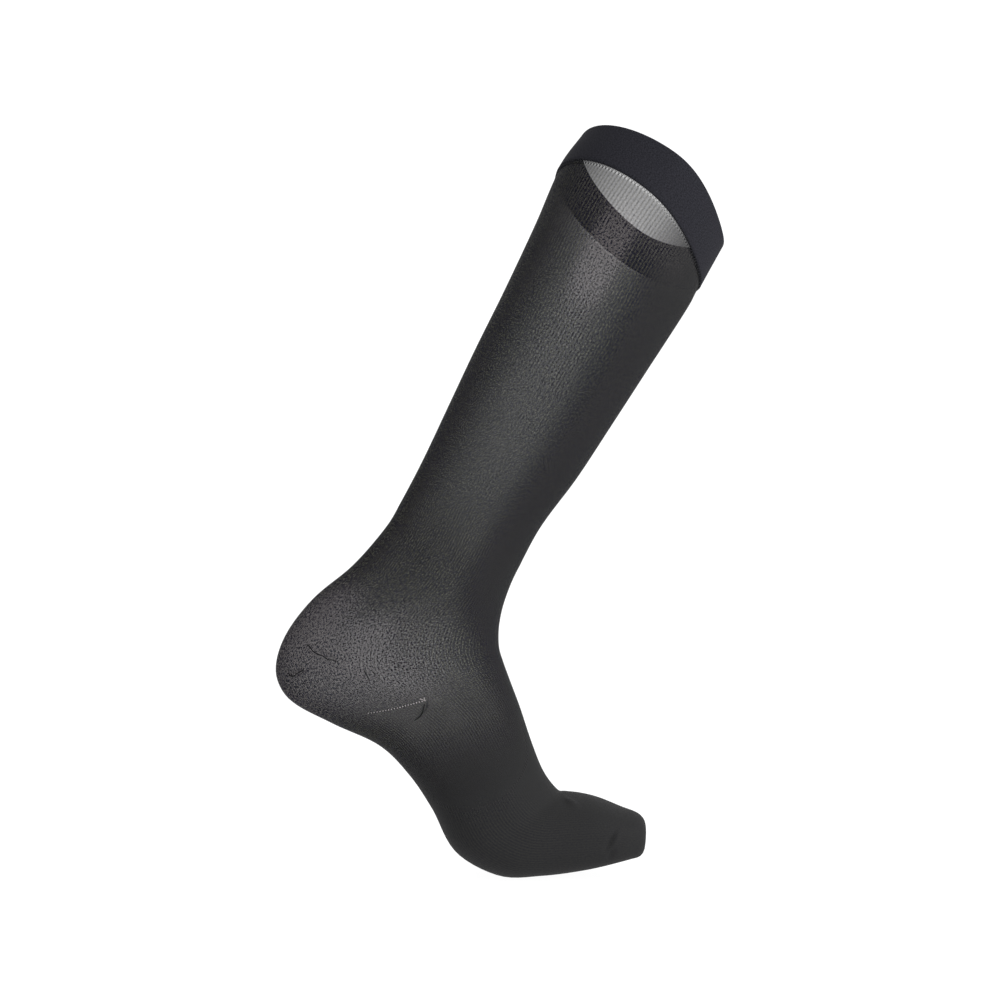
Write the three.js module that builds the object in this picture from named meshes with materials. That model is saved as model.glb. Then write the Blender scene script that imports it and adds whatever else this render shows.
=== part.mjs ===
// A knee-high compression stocking of fine ribbed nylon knit, filled out as it sits on a leg
// whose heel is raised: six knitted or sewn pieces, each a thin wall with nothing inside it.
// Millimetres, +Z up, +X towards the toes, -Y the side that the arch is on.
// The origin is the centre of the open top edge, where the leg goes in.

import * as THREE from "three";
import { mergeVertices } from "three/addons/utils/BufferGeometryUtils.js";

const KNIT_WALL = 1.2; // the ribbed knit of leg, heel, foot and toe
const BAND_WALL = 2.2; // the top band is two layers
const BAND_PROUD = 1.0; // how far the band stands out past the leg below it
const SEAM_GAP = 0.3; // pieces are this far apart where they meet
const POINTS_ROUND = 36; // points round a whole ring
const RING_STEP = 12; // distance between rings along the leg and foot
const RING_SAMPLES = 144; // points that a ring's length is measured on
const TOE_RINGS = 15; // rings of the toe cap, closer together towards the tip
const NUDGE = 0.5; // step for measuring how the skin slopes, along and round
const WELD = 0.01; // points closer together than this are one point

// The heel pocket: half its width at its lower edge, as a share of the ring round the foot.
const HEEL_HALF_WIDTH = 0.25;
const HEEL_RINGS = 8;

// Soft folds: two creases on each side of the toe, and the hollow on each side of the tendon.
// Each lies some way past a section, at a share of the way round, turned some degrees from down
// the stocking towards the front.
const FOLD_COLUMNS = ["section", "past", "share", "turned", "length", "width", "depth"];
const FOLDS = [
  ["toe edge", 10, 0.253, 69, 10, 3.2, 0.8],
  ["toe edge", 11.5, 0.211, 84, 8, 3, 0.6],
  ["toe edge", 8, 0.742, 100, 9, 3.2, 0.7],
  ["toe edge", 12.5, 0.785, 118, 7, 3, 0.5],
  ["tendon", 17, 0.165, -8, 46, 20, 1.6],
  ["tendon", 15, 0.83, 8, 42, 20, 1.4],
].map((values) => Object.fromEntries(values.map((v, i) => [FOLD_COLUMNS[i], v])));

// Sections down the stocking. Each has its rear point (calf, heel or sole) and its front point
// (shin, instep or toe top) in the side view, above the floor; how wide it is from side to side;
// how far its centre lies to the far side; lean, the degrees that it tips over to the far side;
// egg, which moves the widest place towards the rear; boxy, which squares the rear half; keel,
// which narrows the front, as over a shin; and crown, how far its sides are raised.
const COLUMNS = ["rearX", "rearZ", "frontX", "frontZ", "wide", "side", "lean", "egg", "boxy", "keel", "crown"];
const SECTIONS = [
  ["top edge", 52, 457.5, 139.5, 389.5, 121, 44, 12.8, -0.09, 0.02, 0.54, 0.7],
  ["band seam", 37, 436, 124.5, 362.5, 120, 41, 10.6, 0.01, 0.02, 0.32, 3],
  ["below knee", 22, 400.5, 116.5, 347.5, 116, 36.5, 9, 0.12, 0, 0.32, 2],
  ["upper calf", 2, 356.5, 90, 306.5, 110, 30, 8, 0.1, 0, 0.22, 0],
  ["mid calf", -15.5, 320, 68, 272.5, 101, 24, 8, 0.1, 0, 0.16, 0],
  ["lower calf", -31.5, 285, 47, 240.5, 90, 19, 7.5, 0.08, 0, 0.1, 0],
  ["shank", -47.5, 250, 24.5, 210, 77, 13.5, 7, 0.08, 0, 0, 0],
  ["ankle", -60.5, 224.5, 10.5, 184, 68, 9.5, 6, 0.05, 0, 0, 0],
  ["tendon", -68.5, 210.5, 6.3, 175, 66, 7.5, 5, 0, 0, 0, 0],
  ["above heel", -88.5, 187, 2.2, 163.5, 66, 5, 3, -0.08, 0, 0, 0],
  ["heel back", -112.5, 166.5, 0, 154, 67, 2.5, 1, -0.12, 0, 0, 0],
  ["heel top", -129, 144, -0.8, 146, 68, 1, 0, -0.12, 0, 0, 0],
  ["heel point", -134, 123, -0.4, 137, 68, 0, 0, -0.1, 0.02, 0, 0],
  ["heel sole", -126, 107, 2, 129, 68, 0, 0, -0.06, 0.06, 0, 0],
  ["heel end", -101, 93, 6, 118, 68, 0, 0, 0, 0.1, 0, 0],
  ["rear arch", -72, 79.5, 12, 102, 69, 1, 0, 0.08, 0.12, 0, 0],
  ["arch", -54, 62, 19, 81, 73, 2, 0, 0.12, 0.14, 0, 0],
  ["fore arch", -40.5, 42.5, 26, 64, 80, 2, 0, 0.14, 0.17, 0, 0],
  ["ball rear", -26, 17, 34.5, 53, 88, 2, 0, 0.14, 0.2, 0, 0],
  ["ball", -1, 4, 39.5, 52, 93, 2, 0, 0.12, 0.24, 0, 0],
  ["ball fore", 24, 4, 48, 51, 93, 2, 0, 0.08, 0.26, 0, 0],
  ["toe edge", 49, 7.5, 59, 48.5, 87, -1, 0, 0.06, 0.27, 0, 0],
  ["toes", 68.5, 12, 72.5, 43.5, 70, -7, 0, 0.04, 0.22, 0, 0],
  ["toe front", 79, 15.5, 81, 40.5, 49, -12, 0, 0, 0.18, 0, 0],
  ["tip edge", 83.8, 20.5, 84.8, 36.5, 28, -15, 0, 0, 0.12, 0, 0],
  ["tip", 85.6, 28.5, 85.6, 28.5, 0, -16, 0, 0, 0, 0, 0],
].map(([name, ...values]) => ({ name, ...Object.fromEntries(values.map((v, i) => [COLUMNS[i], v])) }));

// How far down the stocking each section lies: the mean of what its rear and its front travel.
SECTIONS.forEach((row, i) => {
  const last = SECTIONS[i - 1];
  const rear = last ? Math.hypot(row.rearX - last.rearX, row.rearZ - last.rearZ) : 0;
  const front = last ? Math.hypot(row.frontX - last.frontX, row.frontZ - last.frontZ) : 0;
  row.down = last ? last.down + (rear + front) / 2 : 0;
});
const down = (name) => SECTIONS.find((row) => row.name === name).down;
const TIP = down("tip");

// A column's slope at section i, from the sections on each side of it.
function slope(column, i) {
  const a = SECTIONS[Math.max(i - 1, 0)];
  const b = SECTIONS[Math.min(i + 1, SECTIONS.length - 1)];
  return (b[column] - a[column]) / (b.down - a.down);
}

// The section at distance d down the stocking, eased smoothly between the rows of the table.
function sectionAt(d) {
  const at = THREE.MathUtils.clamp(d, 0, TIP);
  let i = 0;
  while (i < SECTIONS.length - 2 && SECTIONS[i + 1].down < at) i++;
  const [a, b] = [SECTIONS[i], SECTIONS[i + 1]];
  const gap = b.down - a.down;
  const t = (at - a.down) / gap;
  const row = {};
  for (const column of COLUMNS) {
    row[column] =
      a[column] * (1 + 2 * t) * (1 - t) ** 2 +
      slope(column, i) * gap * t * (1 - t) ** 2 +
      b[column] * t * t * (3 - 2 * t) +
      slope(column, i + 1) * gap * t * t * (t - 1);
  }
  return row;
}

const middle = (row) => new THREE.Vector3((row.rearX + row.frontX) / 2, row.side, (row.rearZ + row.frontZ) / 2);

// The ring at distance d: its centre, the half axes from rear to front and from near to far
// side, and its points from the rear over the near side, evenly spaced when asked for by share.
const rings = new Map();
function ringAt(d) {
  if (rings.has(d)) return rings.get(d);
  const row = sectionAt(d);
  const centre = middle(row);
  const forward = new THREE.Vector3(row.frontX - row.rearX, 0, row.frontZ - row.rearZ);
  const halfDepth = forward.length() / 2;
  forward.normalize();
  const lean = THREE.MathUtils.degToRad(row.lean);
  const up = new THREE.Vector3(-forward.z, 0, forward.x);
  const across = new THREE.Vector3(0, Math.cos(lean), 0).addScaledVector(up, -Math.sin(lean));
  const points = [];
  const lengths = [0];
  for (let i = 0; i <= RING_SAMPLES; i++) {
    const turn = Math.PI - (2 * Math.PI * i) / RING_SAMPLES;
    const c = Math.cos(turn);
    const s = -Math.sin(turn);
    const power = 1 - row.boxy * (0.8 - 0.5 * c);
    const along = halfDepth * Math.sign(c) * Math.abs(c) ** power;
    const halfWidth = (row.wide / 2) * (1 - row.egg * c) * (1 - row.keel * Math.max(c, 0) ** 2);
    const aside = halfWidth * Math.sign(s) * Math.abs(s) ** power;
    const point = centre.clone().addScaledVector(forward, along).addScaledVector(across, aside);
    points.push(point.addScaledVector(up, row.crown * s * s));
    if (i) lengths.push(lengths[i - 1] + points[i].distanceTo(points[i - 1]));
  }
  const ring = { points, lengths, girth: lengths[RING_SAMPLES] };
  rings.set(d, ring);
  return ring;
}

// The point of the skin at distance d and at that share of the way round from the rear.
function skin(d, share) {
  const ring = ringAt(d);
  const target = (share - Math.floor(share)) * ring.girth;
  let i = 1;
  while (i < RING_SAMPLES && ring.lengths[i] < target) i++;
  const t = (target - ring.lengths[i - 1]) / (ring.lengths[i] - ring.lengths[i - 1] || 1);
  return ring.points[i - 1].clone().lerp(ring.points[i], THREE.MathUtils.clamp(t, 0, 1));
}

// The way out of the skin there; at the very tip, the way that the toe points.
function outward(d, share) {
  if (d >= TIP) return new THREE.Vector3(1, 0, 0);
  const lower = Math.min(d + NUDGE, TIP - NUDGE / 4);
  const along = skin(lower, share).sub(skin(Math.max(lower - 2 * NUDGE, 0), share));
  const step = NUDGE / Math.max(ringAt(lower).girth, 4);
  const round = skin(lower, share + step).sub(skin(lower, share - step));
  return new THREE.Vector3().crossVectors(along, round).normalize();
}

// How deep the folds are there: each is a soft trough, narrower than it is long.
function foldDepth(d, share) {
  let depth = 0;
  for (const fold of FOLDS) {
    const at = down(fold.section) + fold.past;
    const turned = THREE.MathUtils.degToRad(fold.turned);
    const aside = share - fold.share;
    const round = (aside - Math.round(aside)) * ringAt(at).girth;
    const lengthwise = (d - at) * Math.cos(turned) + round * Math.sin(turned);
    const sideways = (d - at) * Math.sin(turned) - round * Math.cos(turned);
    depth += fold.depth * Math.exp(-((2 * lengthwise / fold.length) ** 2) - (2 * sideways / fold.width) ** 2);
  }
  return depth;
}

// A piece of wall over the skin. distances has its rings from top to toe; span(d) gives the
// shares of a ring between which it lies, and a whole ring where those are 0 and 1.
function wallGeometry({ distances, span, count, proud = 0, wall = KNIT_WALL }) {
  const outer = [];
  const inner = [];
  for (const d of distances) {
    const [from, to] = span(d);
    for (let k = 0; k <= count; k++) {
      const share = (from + ((to - from) * k) / count) % 1;
      const point = skin(d, share);
      const out = outward(d, share);
      const height = proud - foldDepth(d, share);
      outer.push(point.clone().addScaledVector(out, height));
      inner.push(point.clone().addScaledVector(out, height - wall));
    }
  }
  const triangles = [];
  const quad = (a, b, c, d) => triangles.push([a, b, c], [a, c, d]);
  const at = (i, k) => i * (count + 1) + k;
  const shift = outer.length;
  const last = distances.length - 1;
  for (let i = 0; i < last; i++) {
    for (let k = 0; k < count; k++) {
      const corners = [at(i, k), at(i + 1, k), at(i + 1, k + 1), at(i, k + 1)];
      quad(...corners);
      quad(...corners.map((n) => n + shift).reverse());
    }
    quad(at(i, 0), at(i, 0) + shift, at(i + 1, 0) + shift, at(i + 1, 0));
    quad(at(i, count), at(i + 1, count), at(i + 1, count) + shift, at(i, count) + shift);
  }
  for (let k = 0; k < count; k++) {
    quad(at(0, k), at(0, k + 1), at(0, k + 1) + shift, at(0, k) + shift);
    quad(at(last, k), at(last, k) + shift, at(last, k + 1) + shift, at(last, k + 1));
  }
  return closedGeometry([...outer, ...inner], triangles);
}

// One closed mesh: points that coincide become one, and faces that this flattens, or that lie
// back to back where a ring closes on itself, are left out.
function closedGeometry(points, triangles) {
  const loose = new THREE.BufferGeometry();
  loose.setAttribute("position", new THREE.Float32BufferAttribute(points.flatMap((p) => p.toArray()), 3));
  loose.setIndex(triangles.flat());
  const geometry = mergeVertices(loose, WELD);
  const kept = new Map();
  for (let i = 0; i < geometry.index.count; i += 3) {
    const face = [0, 1, 2].map((k) => geometry.index.getX(i + k));
    if (new Set(face).size < 3) continue;
    const key = [...face].sort((a, b) => a - b).join();
    if (kept.has(key)) kept.delete(key);
    else kept.set(key, face);
  }
  geometry.setIndex([...kept.values()].flat());
  geometry.computeVertexNormals();
  return geometry;
}

// Evenly spaced distances from one place to another, about a ring step apart.
function spaced(from, to, step = RING_STEP) {
  const count = Math.max(2, Math.round((to - from) / step));
  return Array.from({ length: count + 1 }, (_, i) => from + ((to - from) * i) / count);
}
const whole = () => [0, 1];

// The heel pocket's edge: a quarter of an ellipse from its tip on the back of the heel, where
// its width is nothing, to its lower edge, where it reaches half way round the foot.
const HEEL_TOP = down("heel top");
const HEEL_END = down("heel end");
const pocketDistance = (turn) => HEEL_END - (HEEL_END - HEEL_TOP) * Math.cos(turn);
function pocketHalf(d) {
  const left = THREE.MathUtils.clamp((HEEL_END - d) / (HEEL_END - HEEL_TOP), 0, 1);
  return HEEL_HALF_WIDTH * Math.sqrt(1 - left * left);
}
const pocketTurns = Array.from({ length: HEEL_RINGS + 1 }, (_, i) => (i * Math.PI) / 2 / HEEL_RINGS);

const nylon = new THREE.MeshStandardMaterial({ color: 0x2b2c2f, roughness: 0.6, metalness: 0 });
const bandNylon = new THREE.MeshStandardMaterial({ color: 0x232427, roughness: 0.7, metalness: 0 });

const stocking = new THREE.Group();
stocking.name = "stocking";
function piece(name, material, geometry) {
  const mesh = new THREE.Mesh(geometry, material);
  mesh.name = name;
  stocking.add(mesh);
}

// Top band: a double layer that stands a little proud of the leg.
const BAND_END = down("band seam");
piece("top_band", bandNylon, wallGeometry({
  distances: spaced(0, BAND_END - SEAM_GAP / 2, RING_STEP * 0.75),
  span: whole,
  count: POINTS_ROUND,
  proud: BAND_PROUD,
  wall: BAND_WALL,
}));

// Leg: whole rings from the band to the shank.
const LEG_END = down("shank");
piece("leg", nylon, wallGeometry({
  distances: spaced(BAND_END + SEAM_GAP / 2, LEG_END - SEAM_GAP / 2),
  span: whole,
  count: POINTS_ROUND,
}));

// Ankle: whole rings down to the heel, and below that open at the rear for the heel pocket.
const ANKLE_END = HEEL_END - SEAM_GAP;
piece("ankle", nylon, wallGeometry({
  distances: [
    ...spaced(LEG_END + SEAM_GAP / 2, HEEL_TOP),
    ...pocketTurns.slice(1, -1).map(pocketDistance),
    ANKLE_END,
  ],
  span: (d) => [pocketHalf(d), 1 - pocketHalf(d)],
  count: POINTS_ROUND,
}));

// Heel pocket: set into the notch of the ankle, a seam's gap inside it all round.
const POCKET_TOP = HEEL_TOP + 2 * SEAM_GAP;
const pocketShrink = SEAM_GAP * 2 / ringAt(HEEL_END).girth;
piece("heel_pocket", nylon, wallGeometry({
  distances: pocketTurns.map((turn) => ANKLE_END - (ANKLE_END - POCKET_TOP) * Math.cos(turn)),
  span: (d) => {
    const left = THREE.MathUtils.clamp((ANKLE_END - d) / (ANKLE_END - POCKET_TOP), 0, 1);
    const half = (HEEL_HALF_WIDTH - pocketShrink) * Math.sqrt(1 - left * left);
    return [-half, half];
  },
  count: Math.round(POINTS_ROUND * 0.45),
}));

// Foot: whole rings from the heel's lower edge to the toe cap.
const FOOT_END = down("toe edge");
piece("foot", nylon, wallGeometry({
  distances: spaced(HEEL_END, FOOT_END - SEAM_GAP / 2, RING_STEP * 0.85),
  span: whole,
  count: POINTS_ROUND,
}));

// Toe cap: closed at the tip.
piece("toe_cap", nylon, wallGeometry({
  distances: Array.from({ length: TOE_RINGS + 1 }, (_, i) => {
    const share = Math.sin((i / TOE_RINGS) * Math.PI * 0.5);
    return FOOT_END + SEAM_GAP / 2 + (TIP - FOOT_END - SEAM_GAP / 2) * share;
  }),
  span: whole,
  count: POINTS_ROUND,
}));

// The centre of the open top edge becomes the origin.
stocking.position.copy(middle(SECTIONS[0])).negate();

export default stocking;
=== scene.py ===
# %% [markdown]
# # A knee-high compression stocking
# This stocking is one seamless knitted tube of fine black nylon, closed at the toe, with a heel
# turned in the knitting and a doubled band sewn on at the top. It is filled out as on a leg with
# a raised heel, and it is sheer enough to see its far side through its near side.
# The lesson loads the solid model as a frame, works the skin out from a table of sections, rolls
# flat grids onto it, and gives them a see-through knit, threads, a studio and a camera.

import math

import bmesh
import bpy
import numpy as np
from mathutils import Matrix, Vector


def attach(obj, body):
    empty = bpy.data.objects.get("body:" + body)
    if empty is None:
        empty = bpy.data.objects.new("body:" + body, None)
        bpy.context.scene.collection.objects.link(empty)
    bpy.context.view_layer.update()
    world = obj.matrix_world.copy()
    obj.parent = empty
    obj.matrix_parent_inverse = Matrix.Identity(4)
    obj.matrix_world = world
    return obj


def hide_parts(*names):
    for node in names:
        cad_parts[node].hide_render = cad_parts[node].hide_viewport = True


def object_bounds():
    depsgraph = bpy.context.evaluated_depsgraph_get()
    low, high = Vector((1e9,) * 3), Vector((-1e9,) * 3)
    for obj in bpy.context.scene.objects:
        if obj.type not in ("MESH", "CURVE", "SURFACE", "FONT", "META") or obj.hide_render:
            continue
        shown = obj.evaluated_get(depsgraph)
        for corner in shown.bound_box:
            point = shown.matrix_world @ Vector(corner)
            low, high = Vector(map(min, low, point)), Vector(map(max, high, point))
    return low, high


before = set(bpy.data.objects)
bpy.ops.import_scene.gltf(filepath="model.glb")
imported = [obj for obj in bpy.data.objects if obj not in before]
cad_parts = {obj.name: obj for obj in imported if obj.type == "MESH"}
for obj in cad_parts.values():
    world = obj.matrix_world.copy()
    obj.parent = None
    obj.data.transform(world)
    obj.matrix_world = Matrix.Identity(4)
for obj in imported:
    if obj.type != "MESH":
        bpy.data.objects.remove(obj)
cad_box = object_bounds()
MM = 0.001
print("solid pieces:", sorted(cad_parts))

# %% [markdown]
# ## The sections
# A stocking has no straight line in it, but it is simple to describe by slices. Each row is one
# slice from the top edge to the tip of the toe: its rear point and its front point in the side
# view, its width, and a few numbers that shape it. It could also be sculpted, or made from a
# cloth simulation over a form, but a table keeps it the same as the solid model to the millimetre.

# %% The table of sections, in millimetres above the floor
COLUMNS = ("rear_x", "rear_z", "front_x", "front_z", "wide", "side", "lean", "egg", "boxy", "keel", "crown")
SECTIONS = {
    "top edge": (52, 457.5, 139.5, 389.5, 121, 44, 12.8, -0.09, 0.02, 0.54, 0.7),
    "band seam": (37, 436, 124.5, 362.5, 120, 41, 10.6, 0.01, 0.02, 0.32, 3),
    "below knee": (22, 400.5, 116.5, 347.5, 116, 36.5, 9, 0.12, 0, 0.32, 2),
    "upper calf": (2, 356.5, 90, 306.5, 110, 30, 8, 0.1, 0, 0.22, 0),
    "mid calf": (-15.5, 320, 68, 272.5, 101, 24, 8, 0.1, 0, 0.16, 0),
    "lower calf": (-31.5, 285, 47, 240.5, 90, 19, 7.5, 0.08, 0, 0.1, 0),
    "shank": (-47.5, 250, 24.5, 210, 77, 13.5, 7, 0.08, 0, 0, 0),
    "ankle": (-60.5, 224.5, 10.5, 184, 68, 9.5, 6, 0.05, 0, 0, 0),
    "tendon": (-68.5, 210.5, 6.3, 175, 66, 7.5, 5, 0, 0, 0, 0),
    "above heel": (-88.5, 187, 2.2, 163.5, 66, 5, 3, -0.08, 0, 0, 0),
    "heel back": (-112.5, 166.5, 0, 154, 67, 2.5, 1, -0.12, 0, 0, 0),
    "heel top": (-129, 144, -0.8, 146, 68, 1, 0, -0.12, 0, 0, 0),
    "heel point": (-134, 123, -0.4, 137, 68, 0, 0, -0.1, 0.02, 0, 0),
    "heel sole": (-126, 107, 2, 129, 68, 0, 0, -0.06, 0.06, 0, 0),
    "heel end": (-101, 93, 6, 118, 68, 0, 0, 0, 0.1, 0, 0),
    "rear arch": (-72, 79.5, 12, 102, 69, 1, 0, 0.08, 0.12, 0, 0),
    "arch": (-54, 62, 19, 81, 73, 2, 0, 0.12, 0.14, 0, 0),
    "fore arch": (-40.5, 42.5, 26, 64, 80, 2, 0, 0.14, 0.17, 0, 0),
    "ball rear": (-26, 17, 34.5, 53, 88, 2, 0, 0.14, 0.2, 0, 0),
    "ball": (-1, 4, 39.5, 52, 93, 2, 0, 0.12, 0.24, 0, 0),
    "ball fore": (24, 4, 48, 51, 93, 2, 0, 0.08, 0.26, 0, 0),
    "toe edge": (49, 7.5, 59, 48.5, 87, -1, 0, 0.06, 0.27, 0, 0),
    "toes": (68.5, 12, 72.5, 43.5, 70, -7, 0, 0.04, 0.22, 0, 0),
    "toe front": (79, 15.5, 81, 40.5, 49, -12, 0, 0, 0.18, 0, 0),
    "tip edge": (83.8, 20.5, 84.8, 36.5, 28, -15, 0, 0, 0.12, 0, 0),
    "tip": (85.6, 28.5, 85.6, 28.5, 0, -16, 0, 0, 0, 0, 0),
}
TABLE = {column: np.array([row[i] for row in SECTIONS.values()], float) for i, column in enumerate(COLUMNS)}

rear_steps = np.hypot(np.diff(TABLE["rear_x"]), np.diff(TABLE["rear_z"]))
front_steps = np.hypot(np.diff(TABLE["front_x"]), np.diff(TABLE["front_z"]))
DOWN = np.concatenate([[0], np.cumsum((rear_steps + front_steps) / 2)])
PLACE = dict(zip(SECTIONS, DOWN))
TIP = PLACE["tip"]
ORIGIN = np.array([
    (TABLE["rear_x"][0] + TABLE["front_x"][0]) / 2,
    TABLE["side"][0],
    (TABLE["rear_z"][0] + TABLE["front_z"][0]) / 2,
])
print(f"the stocking is {TIP:.0f} mm from the top edge to the tip, along its middle")

# %% [markdown]
# ## The skin
# Between the rows, each number is eased with a curve that keeps its slope from row to row, so
# that no section shows as a ring. A ring is an ellipse bent by the row's shaping numbers, and its
# points are spaced evenly by length, because the ribs of a knit stand evenly round a leg. Every
# piece below asks for points of this one skin, by distance down the stocking and share of the
# way round from the rear, so that all pieces fit each other.

# %% Points of the skin
RING_SAMPLES = 360
BOXY_SIDES = 0.8  # how far the boxy number counts at the sides of the ring
BOXY_REAR = 0.5  # it counts by this much more at the rear, and less at the front
PROBE = 0.5  # half the step over which a direction on the skin is measured
TIP_GAP = 0.1  # no direction is measured nearer to the tip than this
AT_TIP = 0.01
LEAST_GIRTH = 4


def eased(column, d):
    values = TABLE[column]
    i = int(np.clip(np.searchsorted(DOWN, d) - 1, 0, len(DOWN) - 2))
    gap = DOWN[i + 1] - DOWN[i]
    t = (d - DOWN[i]) / gap

    def slope(k):
        a, b = max(k - 1, 0), min(k + 1, len(DOWN) - 1)
        return (values[b] - values[a]) / (DOWN[b] - DOWN[a])

    return (
        values[i] * (1 + 2 * t) * (1 - t) ** 2
        + slope(i) * gap * t * (1 - t) ** 2
        + values[i + 1] * t * t * (3 - 2 * t)
        + slope(i + 1) * gap * t * t * (t - 1)
    )


def ring_at(d):
    """The closed ring of points at distance d, and how far along the ring each one is."""
    row = {column: eased(column, min(max(d, 0), TIP)) for column in COLUMNS}
    centre = np.array([(row["rear_x"] + row["front_x"]) / 2, row["side"], (row["rear_z"] + row["front_z"]) / 2])
    forward = np.array([row["front_x"] - row["rear_x"], 0, row["front_z"] - row["rear_z"]])
    half_depth = np.linalg.norm(forward) / 2
    forward = forward / max(2 * half_depth, 1e-6)
    lean = math.radians(row["lean"])
    up = np.array([-forward[2], 0, forward[0]])
    across = np.array([0, math.cos(lean), 0]) - up * math.sin(lean)
    turn = math.pi - np.linspace(0, 2 * math.pi, RING_SAMPLES + 1)
    c, s = np.cos(turn), -np.sin(turn)
    power = 1 - row["boxy"] * (BOXY_SIDES - BOXY_REAR * c)
    along = half_depth * np.sign(c) * np.abs(c) ** power
    half_width = row["wide"] / 2 * (1 - row["egg"] * c) * (1 - row["keel"] * np.maximum(c, 0) ** 2)
    aside = half_width * np.sign(s) * np.abs(s) ** power
    points = centre + along[:, None] * forward + aside[:, None] * across + (row["crown"] * s * s)[:, None] * up
    lengths = np.concatenate([[0], np.cumsum(np.linalg.norm(np.diff(points, axis=0), axis=1))])
    return points, lengths


def skin(d, shares):
    """Points at distance d and at those shares of the way round, in millimetres in the row frame."""
    points, lengths = ring_at(d)
    target = np.mod(shares, 1) * lengths[-1]
    return np.stack([np.interp(target, lengths, points[:, k]) for k in range(3)], axis=-1) - ORIGIN


def girth(d):
    return ring_at(d)[1][-1]


def outward(d, shares):
    """The way out of the skin at those points; at the very tip, the way that the toe points."""
    if d >= TIP - AT_TIP:
        return np.tile([1.0, 0.0, 0.0], (len(shares), 1))
    low, high = max(d - PROBE, 0), min(d + PROBE, TIP - TIP_GAP)
    along = skin(high, shares) - skin(low, shares)
    step = PROBE / max(girth(d), LEAST_GIRTH)
    round_it = skin(d, shares + step) - skin(d, shares - step)
    out = np.cross(along, round_it)
    return out / np.maximum(np.linalg.norm(out, axis=1), 1e-9)[:, None]


for name in ("below knee", "ankle", "arch", "ball"):
    print(f"girth at the {name}: {girth(PLACE[name]):.0f} mm")

# %% [markdown]
# ## Soft folds
# Tight knit has few folds. Where the toe was closed, its cloth gathers into small creases on each
# side, and between the tendon and the ankle it bridges a soft hollow. Each fold is a trough that
# fades out at its ends, and a fold with a negative depth is a ridge. Sculpting would do it too,
# but a row of numbers is easy to place and to change.

# %% The folds: each lies past a section, at a share of the way round, turned from down to front
FOLD_COLUMNS = ("section", "past", "share", "turned", "length", "width", "depth")
FOLD_ROWS = (
    ("toe edge", 10, 0.253, 69, 11, 3, 1.8),
    ("toe edge", 12.5, 0.257, 69, 11, 3, -0.9),
    ("toe edge", 11.5, 0.211, 84, 8, 3, 1.4),
    ("toe edge", 8, 0.742, 100, 9, 3.2, 1.5),
    ("toe edge", 10.5, 0.738, 100, 9, 3.2, -0.6),
    ("toe edge", 12.5, 0.785, 118, 7, 3, 0.9),
    ("toe front", 3, 0, 90, 60, 8, -1.5),
    ("tendon", 17, 0.165, -8, 46, 20, 1.6),
    ("tendon", 15, 0.83, 8, 42, 20, 1.4),
    ("ball fore", -7.5, 0.395, -45, 18, 5, -1.3),
    ("ball fore", -7.5, 0.605, 45, 18, 5, -1.1),
)
FOLDS = [dict(zip(FOLD_COLUMNS, row)) for row in FOLD_ROWS]


def fold_depth(d, shares):
    depth = np.zeros(len(shares))
    for fold in FOLDS:
        at = PLACE[fold["section"]] + fold["past"]
        turned = math.radians(fold["turned"])
        aside = (np.mod(shares - fold["share"] + 0.5, 1) - 0.5) * girth(at)
        lengthwise = (d - at) * math.cos(turned) + aside * math.sin(turned)
        sideways = (d - at) * math.sin(turned) - aside * math.cos(turned)
        away = (lengthwise * 2 / fold["length"]) ** 2 + (sideways * 2 / fold["width"]) ** 2
        depth += fold["depth"] * np.exp(-away)
    return depth


print("folds:", len(FOLDS))

# %% [markdown]
# ## Rolling a flat grid into a tube
# A knitted tube starts life as rows and columns of loops, so a flat grid is a natural start: its
# columns become ribs and its rows become courses. create_grid makes the sheet, each vertex goes
# to its place on the skin, and remove_doubles sews the two long edges together. The UV map keeps
# the flat sheet, with the share of the way round as u and the distance down in metres as v, so
# that the ribs follow the leg and turn round the heel as the real ones do.

# %% The sheet roller
SEWN_WITHIN = 1e-6  # metres
FIRST_ROW = 0.6  # the way out of the skin isn't measured nearer to the top edge than this


def roll_sheet(name, rows, columns):
    """A tube over the skin; each row is (distance, height over the skin, distance along the cloth)."""
    cloth = bmesh.new()
    last = len(rows) - 1
    bmesh.ops.create_grid(cloth, x_segments=columns, y_segments=last, size=0.5)
    shares = np.arange(columns + 1) / columns
    places = []
    for d, height, _ in rows:
        out = outward(max(d, FIRST_ROW), shares)
        places.append((skin(d, shares) + out * np.broadcast_to(height, shares.shape)[:, None]) * MM)
    spots = {}
    for vertex in cloth.verts:
        column = round((vertex.co.x + 0.5) * columns)
        row = round((0.5 - vertex.co.y) * last)
        spots[vertex.index] = (shares[column], rows[row][2] * MM)
        vertex.co = Vector(places[row][column])
    uv = cloth.loops.layers.uv.new("knit")
    for face in cloth.faces:
        for loop in face.loops:
            loop[uv].uv = spots[loop.vert.index]
    bmesh.ops.remove_doubles(cloth, verts=cloth.verts, dist=SEWN_WITHIN)
    cloth.normal_update()
    spot = Vector(places[last // 4][0])
    near = min(cloth.faces, key=lambda face: (face.calc_center_median() - spot).length)
    if near.normal.dot(Vector(outward(rows[last // 4][0], shares[:1])[0])) < 0:
        bmesh.ops.reverse_faces(cloth, faces=cloth.faces)
    mesh = bpy.data.meshes.new(name)
    cloth.to_mesh(mesh)
    cloth.free()
    mesh.shade_smooth()
    piece = bpy.data.objects.new(name, mesh)
    bpy.context.scene.collection.objects.link(piece)
    print(name, "has", len(mesh.polygons), "faces")
    return piece


# %% [markdown]
# ## The knit tube
# Leg, heel, foot and toe are one seamless piece of knitting, so they are one sheet here. A
# Solidify modifier gives it its real thickness, inwards, because the skin is its outside. The
# rows stand closer together at the heel and the toe, where the tube bends and creases.

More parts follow.
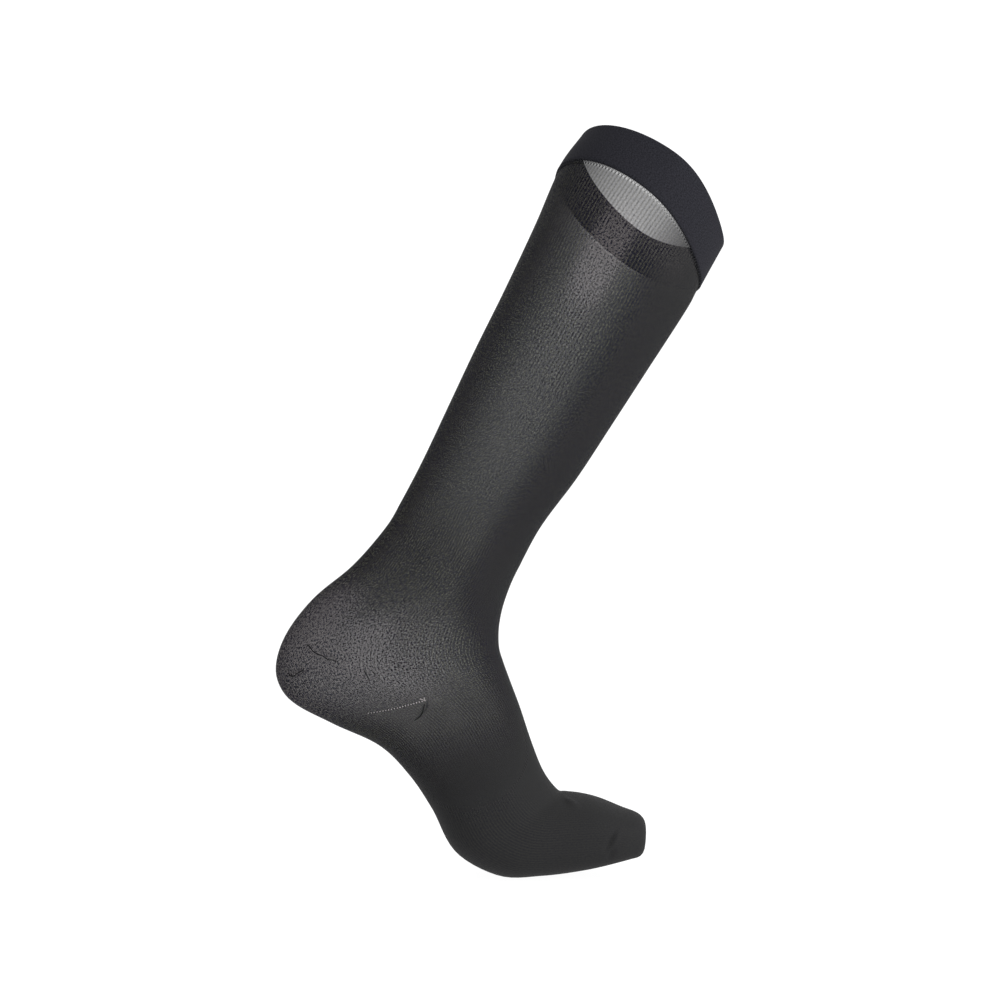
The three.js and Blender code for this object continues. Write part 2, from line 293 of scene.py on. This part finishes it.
# %% Leg, heel, foot and toe
BAND_END = PLACE["band seam"]
HEEL_END = PLACE["heel end"]
TOE_EDGE = PLACE["toe edge"]
RIB_COLUMNS = 180
KNIT_THICKNESS = 0.5
ROUND_TIP = 12  # the last millimetres, where the rows crowd together to round the tip
ROWS_AT_TIP = 12
ROW_STEPS = (
    # from, to, millimetres from row to row
    (BAND_END - 3, BAND_END + 5, 0.8),
    (BAND_END + 5, PLACE["heel back"], 3.0),
    (PLACE["heel back"], HEEL_END, 2.2),
    (HEEL_END, TOE_EDGE, 2.8),
    (TOE_EDGE, TIP - ROUND_TIP, 1.3),
)
tip_rows = TIP - ROUND_TIP * (1 - np.sin(np.linspace(0, math.pi / 2, ROWS_AT_TIP)))
knit_rows = np.concatenate([np.arange(*row_step) for row_step in ROW_STEPS] + [tip_rows])
shares_round = np.arange(RIB_COLUMNS + 1) / RIB_COLUMNS
knit = roll_sheet("stocking_knit", [(d, -fold_depth(d, shares_round), d) for d in knit_rows], RIB_COLUMNS)
wall = knit.modifiers.new("cloth thickness", "SOLIDIFY")
wall.thickness = KNIT_THICKNESS * MM
wall.offset = -1
wall.use_even_offset = True

# %% [markdown]
# ## How sheer the knit is
# The loops are widest where the tube is stretched most, over the calf and over the heel, and they
# close up at the ankle and down the foot, which presses hardest and wears most. Over the shin it
# lies denser and smoother. The material needs that as numbers at every vertex. They could be
# painted by hand in Vertex Paint, but here four attributes are worked out from the UV map: open,
# the part of the light that one wall lets through where it is seen straight on; ribs and loops,
# how far each of them stands out from the rest; and one for bare elastic, where the stretched
# elastic shows lighter between the loops, most of all at the turned heel, and which also carries
# a painted highlight on the heel and a painted highlight streak below the band.

# %% Openness, ribs, loops, and bare elastic with painted highlight, painted on the vertices
OPEN_AT = {
    "top edge": 0.24, "mid calf": 0.25, "lower calf": 0.235, "shank": 0.21, "ankle": 0.17, "tendon": 0.14,
    "above heel": 0.15, "heel back": 0.18, "heel top": 0.21, "heel sole": 0.22, "heel end": 0.2,
    "rear arch": 0.16, "arch": 0.07, "fore arch": 0.01, "ball rear": 0, "tip": 0,
}
LOOPS_AT = {
    "top edge": 0.25, "below knee": 0.4, "upper calf": 0.9, "mid calf": 1, "shank": 0.9, "ankle": 0.6,
    "above heel": 0.85, "heel top": 1.3, "heel sole": 1.2, "heel end": 0.5, "arch": 0.06, "tip": 0.04,
}
RIBS_AT = {
    "top edge": 0.58, "below knee": 0.55, "upper calf": 0.5, "mid calf": 0.25, "shank": 0.35, "ankle": 0.75,
    "heel back": 0.7, "rear arch": 0.75, "arch": 0.15, "fore arch": 0.05, "ball rear": 0.1, "ball fore": 0.04,
    "tip": 0,
}
SHIN_FROM = {"top edge": 0.3, "above heel": 0.3, "heel point": 0.39, "rear arch": 0.39, "fore arch": 0.3}
SHIN_FADE = 0.07  # that much further round from the rear, the knit has turned smooth
SHIN_OPEN = 0.4
SHIN_LOOPS = 0.2
NEEDLE_HOLES = 1.2  # how much more open the knit is where the needle has pierced it
HOLES_BELOW = 1.6  # millimetres below the band's seam
HOLES_WIDE = 0.8
HEEL_SMOOTH = 0.85  # how much of the ribs is lost at the back of the heel
HEEL_DOWN = 32
HEEL_ROUND = 0.22
MOST_BARE_AND_HIGHLIGHT = 1.6
# The heel spots are stretched bare elastic with a painted highlight on it; the spots 74 and 42 mm down are a
# painted highlight streak below the band.
BARE_AND_HIGHLIGHT_SPOTS = (
    # distance, share, half length down, half length round as a share, strength
    (338, 0.16, 30, 0.16, 0.65),
    (331, 0.205, 15, 0.045, 0.85),
    (318, 0.09, 20, 0.06, 0.85),
    (352, 0.27, 18, 0.06, 0.3),
    (74, 0.243, 27, 0.032, 1.6),
    (42, 0.27, 18, 0.14, 0.22),
)


def paint(piece, name, value):
    """Stores value(share, distance) on the piece's vertices, read from its UV map."""
    mesh = piece.data
    layer = mesh.attributes.new(name, "FLOAT", "POINT")
    spots = np.zeros((len(mesh.vertices), 2))
    for loop in mesh.loops:
        spots[loop.vertex_index] = mesh.uv_layers["knit"].data[loop.index].uv
    layer.data.foreach_set("value", value(spots[:, 0], spots[:, 1] / MM).astype(float))
    print(name, "is painted on", piece.name)


def round_from_rear(share):
    return np.abs(np.mod(share + 0.5, 1) - 0.5)


def by_place(values, share, d, at_shin):
    """The values read down the stocking, and that part of them over the shin and the instep."""
    down = np.interp(d, [PLACE[place] for place in values], list(values.values()))
    shin = np.interp(d, [PLACE[place] for place in SHIN_FROM], list(SHIN_FROM.values()))
    return down * (1 - (1 - at_shin) * np.clip((round_from_rear(share) - shin) / SHIN_FADE, 0, 1))


def openness(share, d):
    pierced = np.exp(-(((d - BAND_END - HOLES_BELOW) / HOLES_WIDE) ** 2))
    return by_place(OPEN_AT, share, d, SHIN_OPEN) * (1 + NEEDLE_HOLES * pierced)


def ribbing(share, d):
    """Ribs stand out least at the back of the heel, where the loops are pulled out of line."""
    down = (d - PLACE["heel point"]) / HEEL_DOWN
    heel = np.exp(-(down ** 4) - (round_from_rear(share) / HEEL_ROUND) ** 4)
    return by_place(RIBS_AT, share, d, SHIN_LOOPS) * (1 - HEEL_SMOOTH * heel)


def bareness(share, d):
    """Soft spots of bare elastic and of painted highlight, the same on both sides of the leg."""
    from_rear = round_from_rear(share)
    strength = np.zeros(len(share))
    for at, spot, down, aside, most in BARE_AND_HIGHLIGHT_SPOTS:
        strength += most * np.exp(-(np.abs(d - at) / down) ** 3 - np.abs((from_rear - spot) / aside) ** 3)
    return np.minimum(strength, MOST_BARE_AND_HIGHLIGHT)


paint(knit, "open", openness)
paint(knit, "ribs", ribbing)
paint(knit, "loops", lambda share, d: by_place(LOOPS_AT, share, d, SHIN_LOOPS))
paint(knit, "bare", bareness)

# %% [markdown]
# ## The top band
# The band is one strip of denser knit folded in two over an elastic, so its top edge is a round
# fold and it stands out from the leg. The same roller walks down its outside, round its lower
# edge, up its inside and over the fold, and the last row meets the first.

# %% Folded band
BAND_OUT = 1.0
BAND_IN = -0.6
BAND_LOWER = BAND_END + 0.6
BAND_ROWS = 16
BAND_CORNER = 0.5  # the lower edge is rounded over this height
BAND_BEVEL = 0.4
fold_radius = (BAND_OUT - BAND_IN) / 2
fold_middle = (BAND_OUT + BAND_IN) / 2

profile = [(d, BAND_OUT) for d in np.linspace(fold_radius, BAND_LOWER - BAND_CORNER, BAND_ROWS)]
profile += [(BAND_LOWER, BAND_OUT - BAND_BEVEL), (BAND_LOWER, BAND_IN + BAND_BEVEL)]
profile += [(d, BAND_IN) for d in np.linspace(BAND_LOWER - BAND_CORNER, fold_radius, BAND_ROWS)]
for turn in np.linspace(0, math.pi, 9)[1:-1]:
    profile.append((fold_radius * (1 - math.sin(turn)), fold_middle - fold_radius * math.cos(turn)))
profile.append(profile[0])
walked = np.concatenate([[0], np.cumsum(np.linalg.norm(np.diff(profile, axis=0), axis=1))])
band = roll_sheet("top_band_knit", [(d, height, w) for (d, height), w in zip(profile, walked)], RIB_COLUMNS)
print(f"the band's strip is {walked[-1]:.0f} mm wide before it is folded")

# %% [markdown]
# ## Threads
# Sewing shows as thread, so it is modelled as thread: a curve through the needle's holes, given a
# round section and turned into a mesh. A zigzag joins the band to the leg, because a straight
# seam would burst when the stocking stretches.

# %% The thread maker


def thread(name, runs, radius, closed=False):
    """A mesh tube along each run of points; points are in millimetres in the row frame."""
    curve = bpy.data.curves.new(name, "CURVE")
    curve.dimensions = "3D"
    curve.bevel_depth = radius * MM
    curve.bevel_resolution = 1
    curve.use_fill_caps = not closed
    for run in runs:
        spline = curve.splines.new("POLY")
        spline.points.add(len(run) - 1)
        for point, place in zip(spline.points, run):
            point.co = (*(np.array(place) * MM), 1)
        spline.use_cyclic_u = closed
    drawn = bpy.data.objects.new(name + ".drawn", curve)
    bpy.context.scene.collection.objects.link(drawn)
    bpy.context.view_layer.update()
    mesh = bpy.data.meshes.new_from_object(drawn.evaluated_get(bpy.context.evaluated_depsgraph_get()))
    bpy.data.objects.remove(drawn)
    bpy.data.curves.remove(curve)
    mesh.name = name
    mesh.shade_smooth()
    piece = bpy.data.objects.new(name, mesh)
    bpy.context.scene.collection.objects.link(piece)
    print(name, "has", len(mesh.polygons), "faces")
    return piece


def on_skin(d, share, height):
    shares = np.array([share])
    sunk = fold_depth(d, shares)
    return (skin(d, shares) + outward(d, shares) * (height - sunk)[:, None])[0]


# %% Zigzag seam under the band
ZIGZAG_PITCH = 2.4
ZIGZAG_REACH = 2.4
SEAM_THREAD = 0.27
ZIGZAG_START = 0.3
OVER_KNIT = 0.25
OVER_BAND = 0.9
zigzags = round(girth(BAND_END) / ZIGZAG_PITCH)
zigzag_points = []
for k in range(2 * zigzags):
    low = k % 2
    d = BAND_END + ZIGZAG_START + low * ZIGZAG_REACH
    zigzag_points.append(on_skin(d, k / (2 * zigzags), OVER_KNIT if low else OVER_BAND))
seam_thread = thread("band_seam_thread", [zigzag_points], SEAM_THREAD, closed=True)
print("zigzags round the band:", zigzags)

# %% [markdown]
# ## The turned heel
# A heel is knitted back and forth, each course a loop shorter and then a loop longer, and the
# line where the two halves meet is the gore. The narrowed loops leave a row of small bright
# stitches along its lower edge that fade out towards the back. Along its upper edge, thin dark
# threads are laid in the crease as painted shade. The machine cuts its yarn at the corners,
# which leaves short loose ends on the outside. The stitches and the ends could be painted, but
# real stitches and yarn catch the light from every side.

# %% Gore stitches
GORE_PITCH = 1.7
GORE_LINE = ((0.145, 371.6), (0.18, 372.4), (0.21, 372.6), (0.268, 371.8))
GORE_STITCH = 0.27
GORE_HALF = 0.42  # half the first stitch's length, under the yarn's round ends
GORE_SHRINK = 0.32  # how much shorter it is by the last one
GORE_KNOT = ((369.6, 0.263), (371.6, 0.2675), (369.4, 0.272))
gore_shares, gore_distances = np.array(GORE_LINE).T
stitch_shares = np.arange(gore_shares[-1], gore_shares[0], -GORE_PITCH / girth(HEEL_END))
gore_runs = []
for side in (1, -1):
    for k, share in enumerate(stitch_shares):
        d = np.interp(share, gore_shares, gore_distances)
        half = GORE_HALF - GORE_SHRINK * k / len(stitch_shares)
        gore_runs.append([on_skin(d - half, side * share, 0), on_skin(d + half, side * share, 0)])
    gore_runs.append([on_skin(d, side * share, 0.1) for d, share in GORE_KNOT])
gore_thread = thread("heel_gore_stitches", gore_runs, GORE_STITCH)
print("gore stitches on both sides:", len(gore_runs))

# %% Painted crease shade and loose yarn ends, as runs of (distance, share, height)
YARN_AND_SHADE_RADIUS = 0.32
YARN_RUNS = (
    ((374.2, 0.262, 0.3), (378.0, 0.250, 0.5), (381.5, 0.238, 0.5), (383.6, 0.225, 0.5), (384.6, 0.213, 0.3)),
    ((341.0, 0.060, 0.3), (342.4, 0.068, 0.5), (341.2, 0.080, 0.5), (339.6, 0.095, 0.3)),
)
# dark threads in the crease above the heel: painted shade
CREASE_SHADE_LINES = (
    ((328.0, 0.091, 0.1), (328.8, 0.097, 0.1), (331.4, 0.109, -0.2), (332.6, 0.118, 0), (333.8, 0.131, -0.2)),
    ((334.0, 0.133, 0), (335.9, 0.142, 0.05), (336.2, 0.152, -0.2), (338.0, 0.163, -0.3)),
    ((343.0, 0.208, -0.3), (346.0, 0.210, 0), (349.5, 0.211, -0.25)),
)
yarn_and_crease_shade_runs = []
for run in YARN_RUNS + CREASE_SHADE_LINES:
    for side in (1, -1):
        yarn_and_crease_shade_runs.append([on_skin(d, side * share, height) for d, share, height in run])
yarn_ends_and_crease_shade = thread("heel_yarn_ends_and_crease_shade", yarn_and_crease_shade_runs, YARN_AND_SHADE_RADIUS)

# %% [markdown]
# ## Colours and nodes
# Colours are written as the sRGB hex values that a picture shows, and Blender's shaders want
# linear light, so one function turns them. Another adds a node, sets what it is given and links
# what it is given, so that each material below reads as a short list of steps.

# %% Helpers for materials


def linear(hex_colour):
    channels = [int(hex_colour[i : i + 2], 16) / 255 for i in (1, 3, 5)]
    return (*[c / 12.92 if c <= 0.04045 else ((c + 0.055) / 1.055) ** 2.4 for c in channels], 1)


def add(tree, kind, settings=None, **inputs):
    """A node of that kind; each input is a node or socket to link, or a value, by name or by _number."""
    node = tree.nodes.new(kind)
    for key, value in (settings or {}).items():
        setattr(node, key, value)
    for key, value in inputs.items():
        socket = node.inputs[int(key[1:])] if key.startswith("_") else node.inputs[key.replace("_", " ")]
        if isinstance(value, bpy.types.Node):
            value = value.outputs[0]
        if isinstance(value, bpy.types.NodeSocket):
            tree.links.new(value, socket)
        else:
            socket.default_value = value
    return node


def new_material(name):
    material = bpy.data.materials.new(name)
    material.use_nodes = True
    material.node_tree.nodes.clear()
    return material, material.node_tree


# %% [markdown]
# ## Ribs and loops
# Both cloths are ribbed, and both are uneven, because a bulked yarn never makes two loops alike.
# The patterns are drawn on the UV map, so that they follow the tube round the heel. A cosine
# gives the ribs and a noise gives the loops, and each material uses them in its own way.

# %% The patterns of ribs and loops
RIBS_ROUND = 144  # 2.4 mm apart below the band, and 1.6 mm at the ankle
GRAIN_ROUND = 310  # loops are finer than this; drawn as coarse as the eye can make out
GRAIN_DOWN = 900  # for each metre, so each fleck is about 1 mm long
TIMES = {"operation": "MULTIPLY"}
TIMES_CLAMPED = {"operation": "MULTIPLY", "use_clamp": True}
TIMES_PLUS = {"operation": "MULTIPLY_ADD"}
TIMES_PLUS_CLAMPED = {"operation": "MULTIPLY_ADD", "use_clamp": True}


def rib_wave(tree, uv):
    """A wave round the leg: 1 on the middle of each rib and -1 between two ribs."""
    parts = add(tree, "ShaderNodeSeparateXYZ", Vector=uv)
    turn = add(tree, "ShaderNodeMath", TIMES, _0=parts.outputs["X"], _1=RIBS_ROUND * 2 * math.pi)
    return add(tree, "ShaderNodeMath", {"operation": "COSINE"}, _0=turn)


def loop_grain(tree, uv, down, roughness):
    """A noise of flecks, one for each loop or two."""
    flecks = add(tree, "ShaderNodeMapping", Vector=uv, Scale=(GRAIN_ROUND, down, 1))
    flat = {"noise_dimensions": "2D"}
    return add(tree, "ShaderNodeTexNoise", flat, Vector=flecks, Scale=1.0, Detail=2.0, Roughness=roughness)


# %% [markdown]
# ## Sheer ribbed nylon
# The yarn is a fine bulked nylon wrapped round elastane: almost black, soft, with little gloss.
# Each surface of the wall lets through the square root of what the wall does. Along a glance the
# loops close up, which is why the edges of the leg look solid, and Layer Weight gives that. Modelled
# loops would be far too heavy to render, so a transparent shader is mixed in by openness instead,
# and it survives the export. Between the ribs and the loops more light passes than through them.

# %% The light that passes through one surface
RIBS_CLOSE = -1.1  # a rib closes the knit, and the gap beside it opens it,
GAPS_OPEN = 0.41  # so that its mean openness stays what is painted
LOOPS_OPEN = 1.4
CLOSING_POWER = 0.8


def light_through(tree, rib, uneven, ribs, loops):
    opened = add(tree, "ShaderNodeAttribute", {"attribute_name": "open"}).outputs["Fac"]
    by_rib = add(tree, "ShaderNodeMath", TIMES_PLUS, _0=rib, _1=RIBS_CLOSE, _2=GAPS_OPEN)
    ribbed = add(tree, "ShaderNodeMath", TIMES_PLUS, _0=by_rib, _1=ribs, _2=1.0)
    by_loop = add(tree, "ShaderNodeMath", TIMES, _0=uneven, _1=LOOPS_OPEN)
    varied = add(tree, "ShaderNodeMath", TIMES_PLUS, _0=by_loop, _1=loops, _2=ribbed)
    wall_lets = add(tree, "ShaderNodeMath", TIMES_CLAMPED, _0=opened, _1=varied)
    surface_lets = add(tree, "ShaderNodeMath", {"operation": "SQRT"}, _0=wall_lets)
    glance = add(tree, "ShaderNodeLayerWeight", Blend=0.5).outputs["Facing"]
    straight = add(tree, "ShaderNodeMath", {"operation": "SUBTRACT"}, _0=1.0, _1=glance)
    closing = add(tree, "ShaderNodeMath", {"operation": "POWER"}, _0=straight, _1=CLOSING_POWER)
    return add(tree, "ShaderNodeMath", TIMES_CLAMPED, _0=surface_lets, _1=closing)


# %% [markdown]
# The raised loops stand in the light and the gaps between them are nearly black, so the colour
# runs from dark to lit nylon. Where the elastic is bare, and where a highlight is painted on the
# heel and below the band, it shows as specks of a lighter grey.

# %% The knit's colour
DARK_NYLON = "#121221"
LIT_NYLON = "#616150"
# lighter grey of bare elastic, used also for the painted highlight on the heel and below the band
BARE_ELASTIC_AND_HIGHLIGHT = "#666263"
PLAIN_LIT = 0.18  # how far towards lit nylon the knit is where it has no ribs or loops
RIBS_LIT, GAPS_DARK = 0.75, -0.27
LOOPS_LIT, LOOPS_DARK = 3.3, -0.12
SPECKS_LIT, SPECKS_MEAN = 6.0, 0.6


def knit_colour(tree, rib, uneven, ribs, loops):
    on_ribs = add(tree, "ShaderNodeMath", TIMES_PLUS, _0=rib, _1=RIBS_LIT, _2=GAPS_DARK)
    on_loops = add(tree, "ShaderNodeMath", TIMES_PLUS, _0=uneven, _1=LOOPS_LIT, _2=LOOPS_DARK)
    by_loops = add(tree, "ShaderNodeMath", TIMES_PLUS, _0=on_loops, _1=loops, _2=PLAIN_LIT)
    caught = add(tree, "ShaderNodeMath", TIMES_PLUS_CLAMPED, _0=on_ribs, _1=ribs, _2=by_loops)
    blend = {"data_type": "RGBA"}
    lit = add(tree, "ShaderNodeMix", blend, _0=caught, _6=linear(DARK_NYLON), _7=linear(LIT_NYLON))
    # bare elastic and painted highlight lighten the colour here, in specks
    bare = add(tree, "ShaderNodeAttribute", {"attribute_name": "bare"}).outputs["Fac"]
    specks = add(tree, "ShaderNodeMath", TIMES_PLUS, _0=uneven, _1=SPECKS_LIT, _2=SPECKS_MEAN)
    shows = add(tree, "ShaderNodeMath", TIMES_CLAMPED, _0=bare, _1=specks)
    colour = add(tree, "ShaderNodeMix", blend, _0=shows, _6=lit.outputs[2], _7=linear(BARE_ELASTIC_AND_HIGHLIGHT))
    return colour.outputs[2]


# %% The knit's material
RIB_SHARPNESS = 2.0
RIB_HEIGHT = 0.12
LOOP_HEIGHT = 0.8  # against the ribs
KNIT_GLOSS = 0.02


def ribbed_nylon(name):
    material, tree = new_material(name)
    uv = add(tree, "ShaderNodeUVMap", {"uv_map": "knit"})
    half_wave = add(tree, "ShaderNodeMath", TIMES_PLUS, _0=rib_wave(tree, uv), _1=0.5, _2=0.5)
    rib = add(tree, "ShaderNodeMath", {"operation": "POWER"}, _0=half_wave, _1=RIB_SHARPNESS)
    grain = loop_grain(tree, uv, GRAIN_DOWN, roughness=0.65)
    uneven = add(tree, "ShaderNodeMath", {"operation": "SUBTRACT"}, _0=grain, _1=0.5)
    ribs = add(tree, "ShaderNodeAttribute", {"attribute_name": "ribs"}).outputs["Fac"]
    loops = add(tree, "ShaderNodeAttribute", {"attribute_name": "loops"}).outputs["Fac"]
    passes = light_through(tree, rib, uneven, ribs, loops)
    colour = knit_colour(tree, rib, uneven, ribs, loops)
    relief = add(tree, "ShaderNodeMath", TIMES_PLUS, _0=uneven, _1=LOOP_HEIGHT, _2=rib)
    bump = add(tree, "ShaderNodeBump", Strength=0.35, Distance=RIB_HEIGHT * MM, Height=relief)
    cloth = add(tree, "ShaderNodeBsdfPrincipled", Base_Color=colour, Roughness=0.65, Normal=bump)
    cloth.inputs["Specular IOR Level"].default_value = KNIT_GLOSS
    clear = add(tree, "ShaderNodeBsdfTransparent")
    mixed = add(tree, "ShaderNodeMixShader", _0=passes, _1=cloth, _2=clear)
    add(tree, "ShaderNodeOutputMaterial", Surface=mixed)
    return material


knit.data.materials.append(ribbed_nylon("sheer_ribbed_nylon"))
print("ribs round the leg:", RIBS_ROUND)

# %% [markdown]
# ## Band knit
# The band is two layers of the same yarn round a stronger elastic, so it is opaque. Its ribs are
# flatter, its loops are finer and its surface is smoother, with a slightly blue colour.

# %% The band's material
BAND_YARN = "#27272c"
BAND_RIBS = 0.4  # against the loops
BAND_RELIEF = 0.1
BAND_GLOSS = 0.03


def band_nylon(name):
    material, tree = new_material(name)
    uv = add(tree, "ShaderNodeUVMap", {"uv_map": "knit"})
    grain = loop_grain(tree, uv, 2 * GRAIN_DOWN, roughness=0.5)
    shade = add(tree, "ShaderNodeMapRange", Value=grain, From_Min=0.3, From_Max=0.7, To_Min=0.6, To_Max=1.4)
    colour = add(tree, "ShaderNodeVectorMath", {"operation": "SCALE"}, _0=linear(BAND_YARN)[:3], Scale=shade)
    relief = add(tree, "ShaderNodeMath", TIMES_PLUS, _0=rib_wave(tree, uv), _1=BAND_RIBS, _2=grain)
    bump = add(tree, "ShaderNodeBump", Strength=0.25, Distance=BAND_RELIEF * MM, Height=relief)
    cloth = add(tree, "ShaderNodeBsdfPrincipled", Base_Color=colour, Roughness=0.7, Normal=bump)
    cloth.inputs["Specular IOR Level"].default_value = BAND_GLOSS
    add(tree, "ShaderNodeOutputMaterial", Surface=cloth)
    return material


band.data.materials.append(band_nylon("doubled_nylon_band"))

# %% [markdown]
# ## Threads and yarns
# Sewing thread is a smooth twisted filament, a little glossier than the knit. The gore stitches
# are pale because their elastic is bare, and the loose ends are the black yarn itself; the same
# black draws the painted shade in the crease above the heel.

# %% The threads' material
TWIST = 1500.0  # for each metre, so the plies of the twist show every 0.7 mm
THREAD_GLOSS = 0.2


def filament(name, hex_colour, roughness):
    material, tree = new_material(name)
    place = add(tree, "ShaderNodeTexCoord").outputs["Object"]
    twist = add(tree, "ShaderNodeTexNoise", Vector=place, Scale=TWIST, Detail=1.0)
    shade = add(tree, "ShaderNodeMapRange", Value=twist, To_Min=0.7, To_Max=1.3)
    colour = add(tree, "ShaderNodeVectorMath", {"operation": "SCALE"}, _0=linear(hex_colour)[:3], Scale=shade)
    cloth = add(tree, "ShaderNodeBsdfPrincipled", Base_Color=colour, Roughness=roughness)
    cloth.inputs["Specular IOR Level"].default_value = THREAD_GLOSS
    add(tree, "ShaderNodeOutputMaterial", Surface=cloth)
    return material


seam_thread.data.materials.append(filament("black_seam_thread", "#1e1e23", 0.5))
gore_thread.data.materials.append(filament("bare_gore_yarn", "#a39d9d", 0.6))
# the painted crease shade above the heel shares this black yarn material
yarn_ends_and_crease_shade.data.materials.append(filament("black_yarn_and_crease_shade", "#070708", 0.6))

# %% [markdown]
# ## Studio
# A white sweep, an even world and large soft lights make the clean cut-out look of a product
# picture. The paper glows a little, which takes the line between floor and wall away and leaves
# only a faint shadow under the toes. The key light stands high in front and to the right, where
# it lights the shin, the band and the toes.

# %% Sweep
SWEEP_NEAR = 2.2
SWEEP_DEPTH = 4.0
SWEEP_BEND = 1.4
SWEEP_WIDTH = 9.0
SWEEP_RISE = 3.0
lowest = min(cad_box[0][2], cad_box[1][2])


def sweep(name):
    """A floor that curves up into a wall."""
    paper = bmesh.new()
    bmesh.ops.create_grid(paper, x_segments=1, y_segments=80, size=1)
    for vertex in paper.verts:
        walked = (vertex.co.y + 1) / 2 * (SWEEP_DEPTH + SWEEP_BEND * math.pi / 2 + SWEEP_RISE)
        turn = min(max((walked - SWEEP_DEPTH) / SWEEP_BEND, 0), math.pi / 2)
        rise = max(walked - SWEEP_DEPTH - SWEEP_BEND * math.pi / 2, 0)
        y = min(walked, SWEEP_DEPTH) + SWEEP_BEND * math.sin(turn) - SWEEP_NEAR
        z = SWEEP_BEND * (1 - math.cos(turn)) + rise + lowest
        vertex.co = Vector((vertex.co.x * SWEEP_WIDTH / 2, y, z))
    mesh = bpy.data.meshes.new(name)
    paper.to_mesh(mesh)
    paper.free()
    mesh.shade_smooth()
    piece = bpy.data.objects.new(name, mesh)
    bpy.context.scene.collection.objects.link(piece)
    return piece


floor = sweep("floor_sweep")
paper_white, tree = new_material("white_paper")
glow = add(tree, "ShaderNodeEmission", Color=(1, 1, 1, 1), Strength=0.97)
matt = add(tree, "ShaderNodeBsdfDiffuse", Color=linear("#777777"))
both = add(tree, "ShaderNodeAddShader", _0=glow, _1=matt)
add(tree, "ShaderNodeOutputMaterial", Surface=both)
floor.data.materials.append(paper_white)
print("the floor is at", round(lowest, 4), "m")

# %% Lights and world
MIDDLE = (-0.1, 0, -0.2)
WORLD_LIGHT = 0.55


def softbox(name, place, size, power):
    light = bpy.data.lights.new(name, "AREA")
    light.shape = "RECTANGLE"
    light.size, light.size_y = size
    light.energy = power
    lamp = bpy.data.objects.new(name, light)
    lamp.location = place
    lamp.rotation_euler = (Vector(MIDDLE) - Vector(place)).to_track_quat("-Z", "Y").to_euler()
    bpy.context.scene.collection.objects.link(lamp)


softbox("key", (1.5, -1.2, 0.9), (0.8, 1.6), 38)
softbox("top", (0.5, 0.0, 1.8), (1.4, 1.4), 12)

world = bpy.data.worlds.new("even white")
world.use_nodes = True
world.node_tree.nodes["Background"].inputs["Color"].default_value = (1, 1, 1, 1)
world.node_tree.nodes["Background"].inputs["Strength"].default_value = WORLD_LIGHT
bpy.context.scene.world = world
bpy.context.scene.view_settings.view_transform = "Standard"

# %% [markdown]
# ## Camera
# The picture looks at the side of the leg from just above the floor, so the camera stands 1.2 m
# away, level with the ankle, and looks slightly up into the open top.

# %% Camera
CAMERA_PLACE = (0, -1200, 150)
CAMERA_AIM = (0, 0, 226)
lens = bpy.data.cameras.new("camera")
lens.lens = 72
lens.sensor_width = 36
camera = bpy.data.objects.new("camera", lens)
eye = Vector((np.array(CAMERA_PLACE) - ORIGIN) * MM)
aim = Vector((np.array(CAMERA_AIM) - ORIGIN) * MM)
camera.location = eye
camera.rotation_euler = (aim - eye).to_track_quat("-Z", "Y").to_euler()
bpy.context.scene.collection.objects.link(camera)
bpy.context.scene.camera = camera

# %% [markdown]
# ## Which piece stands for which solid
# Every piece rides on the one rigid body. The knit tube stands for five solids and the band for
# one. The knit is cut, that is knitted, smaller than it is worn: it stretches over the leg, which
# is how it presses.

# %% Riding and replacing
for piece in (knit, band, seam_thread, gore_thread, yarn_ends_and_crease_shade):
    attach(piece, "root")
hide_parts("leg", "ankle", "heel_pocket", "foot", "toe_cap")
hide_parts("top_band")

# %% Bringing the view layer up to date
bpy.context.view_layer.update()
